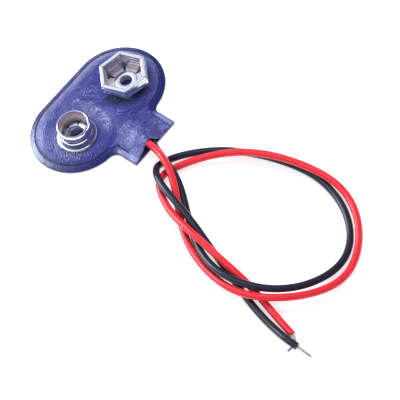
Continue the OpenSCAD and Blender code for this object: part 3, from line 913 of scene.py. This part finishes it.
def front_cover(shape, edge, pouch, contact):
    """The raised cover, finer along its cut edge and its groove, with a hole under each contact."""
    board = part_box("contact_board")[1].z
    depths = [0, 0.00003, 0.0001, 0.0003, 0.0005, 0.0007, 0.00085]
    depths += [0.00092 + 0.00004 * k for k in range(8)]
    depths += [pouch.weld + 0.0001 + pouch.slope * k / 12 for k in range(13)]
    rings = [shape.ring(edge, d) for d in depths]
    rings += shrunk(shape.ring(edge, pouch.weld + pouch.slope + 0.0001), 34)
    bevel = {0: 0.00006, 1: 0.00002}
    top, low = [], []
    for k, ring in enumerate(rings):
        top.append([])
        low.append([])
        for (x, y), (_, edge_y) in zip(ring, edge):
            height = shape.top(x, y)
            fall, line = shape.pressed(depths[k], edge_y) if k < len(depths) else (0, 0)
            top[k].append((x, y, height - fall - line - bevel.get(k, 0)))
            under = height - pouch.vinyl * (1 - 0.3 * shape.flare(y)) - fall * HIDDEN_FALL
            low[k].append((x, y, max(under, board) if shape.depth(x, y) > 0.0022 else under))
    height = shape.top(0, 0)
    obj = link_mesh("front_vinyl", *shell(top, low, (0, 0, height), (0, 0, height - pouch.vinyl)))
    tidy_mesh(obj, VINYL_CREASE)
    drill(obj, (-contact.pitch / 2, contact.pitch / 2), rivet_hole(contact), depth=0.01)
    tidy_mesh(obj, VINYL_CREASE, recalc=False)
    return obj


def back_cover(shape, edge, pouch):
    """The flat cover, pressed a little along the weld."""
    depths = (0, 0.00004, 0.00012, 0.0006, 0.0012, 0.002)
    rings = [shape.ring(edge, d) for d in depths]
    rings += shrunk(rings[-1], 12)
    bevel = {0: 0.00008, 1: 0.00002}
    top, low = [], []
    for k, ring in enumerate(rings):
        falls = [shape.pressed(depths[k], y)[0] if k < len(depths) else 0 for _, y in edge]
        top.append([(x, y, pouch.vinyl - HIDDEN_FALL * fall) for (x, y), fall in zip(ring, falls)])
        low.append([(x, y, bevel.get(k, 0)) for x, y in ring])
    obj = link_mesh("back_vinyl", *shell(top, low, (0, 0, pouch.vinyl), (0, 0, 0)))
    tidy_mesh(obj, VINYL_CREASE)
    return obj


def mark_rim(obj, shape):
    """Marks the pressed rim, painted sheen on its ears, its dark cut edge and painted shade in its pressed
    line by the distance from the welded edge, and painted shadow round the contacts.
    """
    welded = [q for q in shape.outline(12) if q[1] > -shape.p.tab_reach + 0.00005]
    tree = KDTree(len(welded))
    for i, (x, y) in enumerate(welded):
        tree.insert((x, y, 0), i)
    tree.balance()

    def inward(q):
        """Distance from the welded edge."""
        return tree.find((q.x, q.y, 0))[2]

    paint(obj, "rim", lambda q: 1 - ease((inward(q) - 0.00098) / 0.00014))
    # Painted sheen on the top faces of the weld strips beside the tab
    paint(obj, "painted_ear_sheen", lambda q: (1 - shape.on_lobe(q.y)) * ease((q.z - 0.0006) / 0.0001)
          * (1 - ease((inward(q) - 0.00085) / 0.00012)))
    # The cut mask holds the dark cut edge, painted shade in the pressed line and painted shadow round the
    # contacts
    paint(obj, "cut", lambda q: edge_and_painted_shade(q, inward(q), shape))


def edge_and_painted_shade(q, depth, shape):
    """How dark the cut edge is, with painted shade in the pressed line and painted shadow on the vinyl under
    the contacts and round the socket's foot.
    """
    edge = 0.8 - 0.8 * ease((depth - 0.00006) / 0.00012)
    # Painted shade along the pressed groove
    line = 0.65 * exp(-((depth - shape.groove_at) / 0.0001) ** 2)
    if q.z <= 0.0009:
        return max(edge, line)
    # Painted shadow on the front cover under the contacts, reaching out in a ring round the socket's foot
    away = shape.away(q.x, q.y) - (0.0005 if q.x > 0 else 0)
    return max(edge, line, 1 - ease((away - 0.0034) / 0.0005))


class SNAP_OT_covers(bpy.types.Operator):
    """Front and back vinyl covers, welded round the rim"""
    bl_idname = "snap.covers"
    bl_label = "Covers"

    def execute(self, context):
        scene = context.scene
        pouch, contact = scene.snap_pouch, scene.snap_contact
        shape = PouchShape(pouch, contact, scene.snap_lead)
        edge = shape.outline(EDGE_STEPS)
        finish = vinyl_finish(pouch)
        for obj, node in ((front_cover(shape, edge, pouch, contact), "front_cover"),
                          (back_cover(shape, edge, pouch), "back_cover")):
            mark_rim(obj, shape)
            dress(obj, finish, node)
        return {"FINISHED"}


def stud_wall(foot, neck, inset, low, high):
    """The wall from its foot up a low cone to the steep neck, moved in by an inset."""
    curve = [(foot - inset * 0.5, low), (foot - 0.00006 - inset * 0.5, low + 0.00003)]
    for out, share in ((0.00018, 0.34), (0.00009, 0.41), (0.00005, 0.51),
                       (0.00003, 0.66), (0.00001, 0.85), (0, 1)):
        curve.append((neck + out - inset, low + (high - low) * share))
    return curve


def petalled_eyelet(scene, x, finish):
    """The rivet: a barrel with a back flange, and a ring of petals inside the cup."""
    bore, head, flange, wall, board, floor = eyelet_sizes(scene)
    petals = scene.snap_contact.petals
    profile = [(bore, board - wall), (flange - 0.00005, board - wall), (flange, board - wall + 0.00005),
               (flange, board), (bore + wall, board), (bore + wall, floor), (bore + wall, floor + 0.00012),
               (bore + wall * 0.5, floor + 0.00018), (bore, floor + 0.00012)]
    barrel = link_mesh("stud_rivet", *lathe(profile, x, EYELET_TURNS))
    petal = one_petal(x, floor, bore, wall, head, petals)
    run_tree(petal, "Ring of", Count=petals, Axis=(x, 0, 0), Finish=finish)
    join_into(barrel, petal)
    tidy_mesh(barrel, CONTACT_CREASE)
    paint(barrel, "inside", lambda q: 0.3 * ease((bore + 0.00006 - hypot(q.x - x, q.y)) / 0.00005))
    dress(barrel, finish, "stud_eyelet")


def one_petal(x, floor, bore, wall, head, count):
    """One tongue of the split barrel, curled outwards."""
    line = [(bore + wall * 0.5, floor + 0.00002), (bore + wall * 0.55, floor + 0.00016),
            (bore + 0.00016, floor + 0.0003), (bore + 0.00026, floor + 0.00042),
            (bore + 0.00042, floor + 0.00047), (head - 0.00016, floor + 0.00053), (head, floor + 0.00054)]
    last = len(line) - 1
    points = []
    for i, r, z in sheet_sides(line, [wall * (0.5 - 0.17 * i / last) for i in range(last + 1)]):
        spread = pi / count * (0.93 - 0.16 * (i / last) ** 2)
        for j in range(PETAL_ACROSS):
            a = spread * (2 * j / (PETAL_ACROSS - 1) - 1)
            points.append((x + r * cos(a), r * sin(a), z))
    return link_mesh("petal", points, sheet_faces(last + 1, PETAL_ACROSS))


class SNAP_OT_stud(bpy.types.Operator):
    """Round drawn stud with its petalled eyelet"""
    bl_idname = "snap.stud"
    bl_label = "Stud"

    def execute(self, context):
        contact, seat = context.scene.snap_contact, context.scene.snap_pouch.seat
        finish = nickel_finish(contact, "nickel_plate")
        x, t, hole = -contact.pitch / 2, contact.sheet, rivet_hole(contact)
        flange, neck, head, mouth = (d / 2 for d in (contact.stud_flange, contact.stud_neck,
                                                     contact.stud_head, contact.stud_mouth))
        high, bead, lip = contact.stud_height, t / 2, t / 2
        band_top = high - contact.stud_crown
        band_low = band_top - contact.stud_band
        foot, neck_z = flange - 2 * bead, band_low - contact.stud_undercut
        out = [(hole, 0)]
        out += arc(flange - bead / 2, bead / 2, bead / 2, -90, 55, 8)
        out += arc(flange - 0.00006 - bead / 2, bead * 1.5, bead / 2, -35, 90, 8)
        out += stud_wall(foot, neck, 0, t, neck_z)
        out += [(neck + 0.00006, neck_z + 0.00008), (head - 0.00008, band_low - 0.00012),
                (head - 0.00002, band_low - 0.00005), (head, band_low + 0.00003), (head, band_top),
                (head - 0.00001, band_top + 0.00008), (head - 0.00004, band_top + 0.00016)]
        out += arc(mouth - lip, high - lip, lip, 20, 180, 12)
        inn = [(mouth - 2 * lip, high - 2 * lip), (head - t - 0.00004, band_top),
               (head - t, band_top - 0.0001), (head - t, band_low)]
        inn += reversed(stud_wall(foot - 1.3 * t, neck, t, t, neck_z))
        inn += [(hole, t)]
        obj = link_mesh("stud_cup", *lathe([(r, seat + z) for r, z in out + inn], x))
        tidy_mesh(obj, CONTACT_CREASE)

        def inside(q):
            """1 on the faces inside the cup, 0 on its outside, its floor and its lip."""
            wall = (head if q.z > seat + neck_z + 0.0001 else neck) - t / 2
            return ease((wall - hypot(q.x - x, q.y)) / 0.00005) \
                * ease((q.z - seat - 0.00012) / 0.0001) * ease((seat + 0.0031 - q.z) / 0.0002)

        paint(obj, "inside", inside)
        dress(obj, finish, "snap_stud")
        petalled_eyelet(context.scene, x, finish)
        return {"FINISHED"}


def socket_inside(q, x, seat, contact):
    """The floor and the spring faces inside are warmer and duller than the rim."""
    a = (atan2(q.y, q.x - x) - contact.socket_turn) % SIXTH - SIXTH / 2
    r = hypot(q.x - x, q.y) * cos(a)
    wall = contact.socket_flats / 2 - contact.socket_rim + 0.0001
    share = 0.8 - 0.45 * ease((q.z - seat - 0.0004) / 0.0002)
    return share * ease((wall - r) / 0.00005) * ease((seat + contact.socket_height - 0.00012 - q.z) / 0.0002)


def one_finger(contact, x, seat, foot):
    """One finger: up from the floor, in at the waist, out to the rim and down into the hem."""
    t, high = contact.sheet, contact.socket_height
    grip, rim = contact.socket_grip / 2, contact.socket_flats / 2
    waist, thin = high * 0.5, 0.00007
    line = [(foot - 0.0004, t / 2), (foot - 0.00015, t / 2)]
    line += arc(foot - 0.0001, t / 2 + 0.00025, 0.00025, -80, -8, 5)
    line += [(foot + 0.5 * t, waist * 0.6), (foot + 0.5 * t + 0.00007, waist * 0.68),
             (grip + 0.5 * t, waist * 0.8), (grip + 0.5 * t, waist)]
    thick = len(line)
    for inset, level in ((0, 1.02), (0.00005, 1.3)):
        near = grip + thin + inset
        line += [(near, waist * level), (near, waist * (level + 0.1)),
                 (near + 0.0002, waist * (level + 0.25))]
    near, far = rim - contact.socket_rim + thin, rim - thin
    line += [(near - 0.00004, waist * 1.58), (near - 0.00002, high - 0.0003)]
    line += arc(near + 0.00005, high - thin - 0.00005, 0.00005, 172, 90, 6)
    line += [(near + 0.00008, high - thin), (far - 0.00014, high - thin)]
    line += arc(far - 0.00011, high - thin - 0.00004, 0.00004, 90, 10, 6)
    line += [(far - 0.00009, high - 0.00048), (far - 0.00001, high - 0.00056), (far, high - 0.00095),
             (far - 0.00006, high - 0.00103), (far, high - 0.00111), (far, high - contact.socket_hem)]
    spin = Matrix.Rotation(contact.socket_turn + SIXTH / 2, 3, "Z")
    points = []
    for i, r, z in sheet_sides(line, [t / 2] * thick + [thin] * (len(line) - thick)):
        gap = contact.slit / 2
        if i < 10:
            opening = 1 - ease((line[i][1] - t) / (waist * 0.4 - t))
            gap += contact.relief / 2 * opening * (1 if i > 1 else 1.2)
        half = r * tan(SIXTH / 2) - gap
        for end in (-half, half):
            q = spin @ Vector((r, end, 0))
            points.append((x + q.x, q.y, seat + z))
    return link_mesh("finger", points, sheet_faces(len(line), 2))


def socket_floor(contact, x, seat, foot):
    """Six-sided floor with slots at its corners and a hole for the eyelet."""
    hole, steps = rivet_hole(contact), 6
    half = foot * tan(SIXTH / 2) - contact.relief / 2
    edge = []
    for k in range(6):
        spin = Matrix.Rotation(contact.socket_turn + SIXTH * (k + 0.5), 3, "Z")
        edge += [spin @ Vector((foot - 0.0003, -half + 2 * half * i / steps, 0)) for i in range(steps + 1)]
        corner = Matrix.Rotation(contact.socket_turn + SIXTH * (k + 1), 3, "Z")
        edge += [corner @ Vector((0.00206, side, 0)) for side in (-0.00017, 0, 0.00017)]
    points, faces = [], []
    n = len(edge)
    for z in (seat, seat + contact.sheet - 0.000004):
        points += [(x + q.x, q.y, z) for q in edge]
        points += [(x + hole * q.x / q.length, hole * q.y / q.length, z) for q in edge]
    for i in range(n):
        j = (i + 1) % n
        faces += [(i, n + i, n + j, j), (2 * n + i, 2 * n + j, 3 * n + j, 3 * n + i),
                  (i, j, 2 * n + j, 2 * n + i), (n + i, 3 * n + i, 3 * n + j, n + j)]
    return link_mesh("floor_plate", points, faces)


def rolled_eyelet(scene, x, finish):
    """The rivet: a barrel with a back flange and a low rolled head."""
    bore, head, flange, wall, board, floor = eyelet_sizes(scene)
    roll = (head - bore) / 2
    profile = [(bore, board - wall), (flange, board - wall), (flange, board), (bore + wall, board),
               (bore + wall, floor), (head - 0.0001, floor)]
    profile += [(bore + roll + roll * c, floor + 0.00001 + 0.00004 * s) for c, s in arc(0, 0, 1, 0, 180, 16)]
    obj = link_mesh("socket_rivet", *lathe(profile, x, EYELET_TURNS))
    tidy_mesh(obj, CONTACT_CREASE)
    paint(obj, "inside", lambda q: 0.75 * ease((bore + 0.00012 - hypot(q.x - x, q.y)) / 0.0001))
    dress(obj, finish, "socket_eyelet")


class SNAP_OT_socket(bpy.types.Operator):
    """Hexagonal socket of six sprung fingers with its rolled eyelet"""
    bl_idname = "snap.socket"
    bl_label = "Socket"

    def execute(self, context):
        contact, seat = context.scene.snap_contact, context.scene.snap_pouch.seat
        finish = nickel_finish(contact, "nickel_plate_socket")
        x = contact.pitch / 2
        foot = contact.socket_grip / 2 + 0.00015
        obj = one_finger(contact, x, seat, foot)
        run_tree(obj, "Ring of", Count=6, Axis=(x, 0, 0), Finish=finish)
        join_into(obj, socket_floor(contact, x, seat, foot))
        obj.name = "socket_fingers"
        edge = obj.modifiers.new("edges", "BEVEL")
        edge.width = 0.00003
        edge.segments = 1
        edge.limit_method = "ANGLE"
        edge.angle_limit = radians(60)
        bake(obj)
        tidy_mesh(obj, SOCKET_CREASE)
        paint(obj, "inside", lambda q: socket_inside(q, x, seat, contact))
        dress(obj, finish, "snap_socket")
        rolled_eyelet(context.scene, x, finish)
        return {"FINISHED"}


class SNAP_OT_inside(bpy.types.Operator):
    """Finishes of the board, the solder and the stripped tails inside the pouch"""
    bl_idname = "snap.inside"
    bl_label = "Inside"

    def execute(self, context):
        solder = solder_finish()
        tinned = bpy.data.materials["tinned_strands"]
        for name, mat in (("contact_board", fibre_finish()), ("stud_solder", solder),
                          ("socket_solder", solder), ("red_tail", tinned), ("black_tail", tinned)):
            data = NODES[name].data
            data.materials.clear()
            data.materials.append(mat)
        return {"FINISHED"}


class SNAP_PT_panel(bpy.types.Panel):
    """Settings and steps of the battery snap"""
    bl_label = "Battery snap"
    bl_idname = "SNAP_PT_panel"
    bl_space_type = "VIEW_3D"
    bl_region_type = "UI"
    bl_category = "Snap"

    def draw(self, context):
        for step in STEPS:
            self.layout.operator(step.bl_idname)
        for name in SETTINGS:
            group = getattr(context.scene, name)
            box = self.layout.box()
            for key in group.__annotations__:
                box.prop(group, key)


SETTINGS = {"snap_pouch": PouchSettings, "snap_contact": ContactSettings,
            "snap_lead": LeadSettings, "snap_stage": StageSettings}
STEPS = (SNAP_OT_stage, SNAP_OT_leads, SNAP_OT_covers, SNAP_OT_stud, SNAP_OT_socket, SNAP_OT_inside)


def register():
    """Adds the settings, the steps and the panel."""
    for cls in (*SETTINGS.values(), *STEPS, SNAP_PT_panel):
        bpy.utils.register_class(cls)
    for name, cls in SETTINGS.items():
        setattr(bpy.types.Scene, name, bpy.props.PointerProperty(type=cls))


def unregister():
    """Takes them away again."""
    for name in SETTINGS:
        delattr(bpy.types.Scene, name)
    for cls in reversed((*SETTINGS.values(), *STEPS, SNAP_PT_panel)):
        bpy.utils.unregister_class(cls)


def main():
    """Makes every piece in order."""
    register()
    bpy.ops.snap.stage()
    bpy.ops.snap.leads()
    bpy.ops.snap.covers()
    bpy.ops.snap.stud()
    bpy.ops.snap.socket()
    bpy.ops.snap.inside()
    bpy.context.view_layer.update()


if __name__ == "__main__":
    main()
